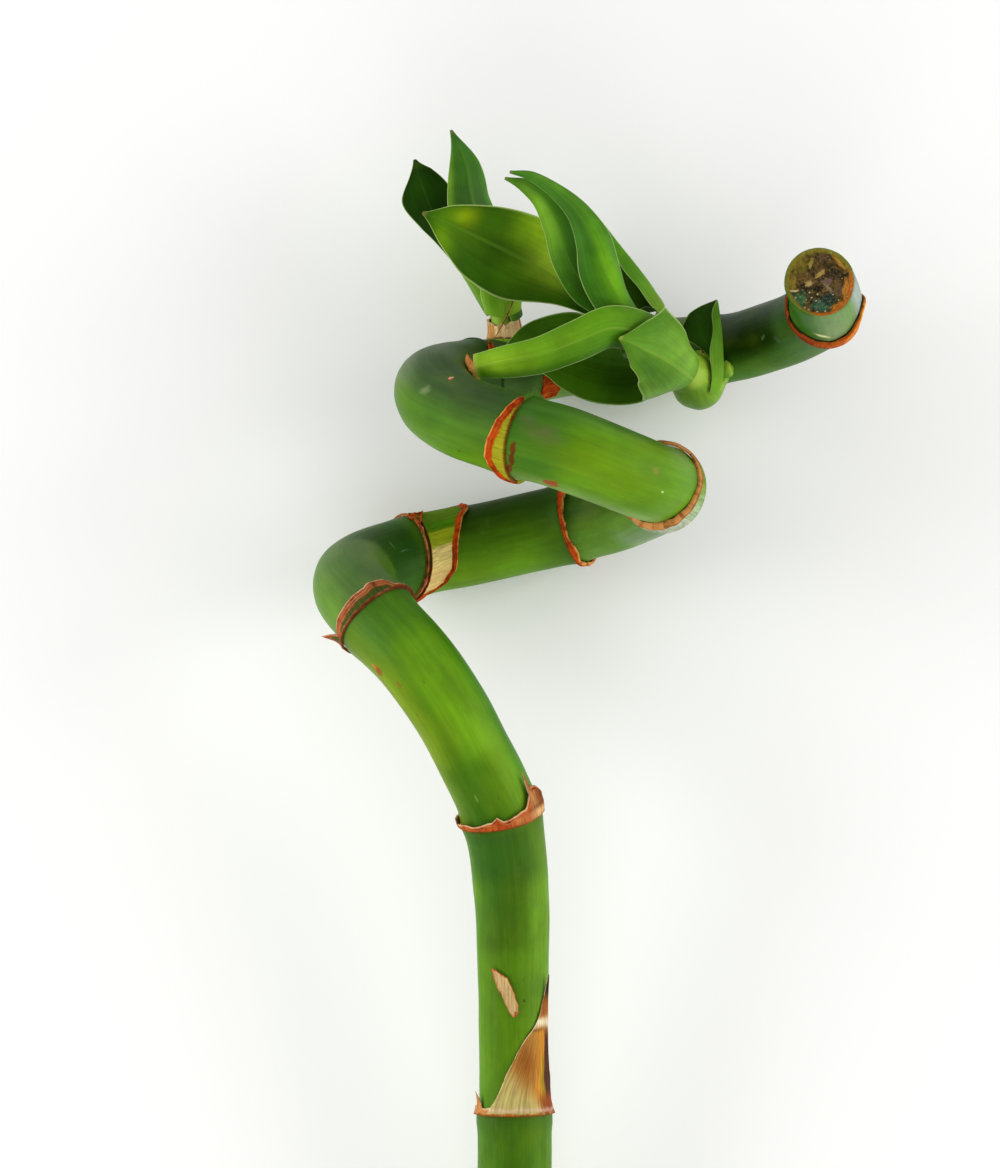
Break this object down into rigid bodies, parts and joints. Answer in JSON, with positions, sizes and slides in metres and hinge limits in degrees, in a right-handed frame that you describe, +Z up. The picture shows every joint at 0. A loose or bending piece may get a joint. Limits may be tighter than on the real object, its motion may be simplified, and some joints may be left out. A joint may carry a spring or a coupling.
{
  "type": "lucky bamboo stalk",
  "caption": "Spiral-trained lucky bamboo stalk, cut and lying on its back, with ringed nodes, dried sheath remnants and leafy side shoots.",
  "frame": {"origin": "centre of the bounding box, on the surface that the stalk lies on", "axes": "+Y from the cut foot towards the leafy end, +Z up from the surface, +X to the right when looked down on with the foot nearest"},
  "size_m": [0.1117, 0.2728, 0.0667],
  "materials": {
    "green_cane": "living green skin, waxy satin, lighter towards the nodes, with faint lengthwise streaks",
    "rust_sheath": "dried orange-brown leaf base, matt and ragged",
    "tan_sheath": "dried papery tan leaf base with lengthwise fibres",
    "light_leaf": "young light green leaf, waxy, with parallel veins",
    "green_leaf": "mid green leaf, waxy satin, with parallel veins",
    "dark_leaf": "dark green leaf, waxy satin, with parallel veins"
  },
  "bodies": {
    "root": {"cane": "green_cane", "sheath_remnant_01": "rust_sheath", "sheath_remnant_02": "tan_sheath", "sheath_remnant_03": "rust_sheath", "sheath_remnant_04": "rust_sheath", "sheath_remnant_05": "rust_sheath", "sheath_remnant_06": "rust_sheath", "sheath_remnant_07": "rust_sheath", "sheath_remnant_08": "rust_sheath", "sheath_remnant_09": "rust_sheath", "sheath_remnant_10": "rust_sheath", "sheath_remnant_11": "rust_sheath", "sheath_remnant_12": "rust_sheath", "sheath_remnant_13": "tan_sheath", "right_leaf_front_sheath": "light_leaf", "right_leaf_folded_bract": "dark_leaf", "right_leaf_back": "dark_leaf", "right_leaf_low_trough": "light_leaf", "right_leaf_folded_tall": "light_leaf", "right_leaf_upper_front": "green_leaf", "right_leaf_broad": "green_leaf", "right_leaf_upper_inner": "green_leaf", "left_leaf_front_sheath": "light_leaf", "left_leaf_upright": "green_leaf", "left_leaf_outer": "dark_leaf"}
  },
  "joints": []
}
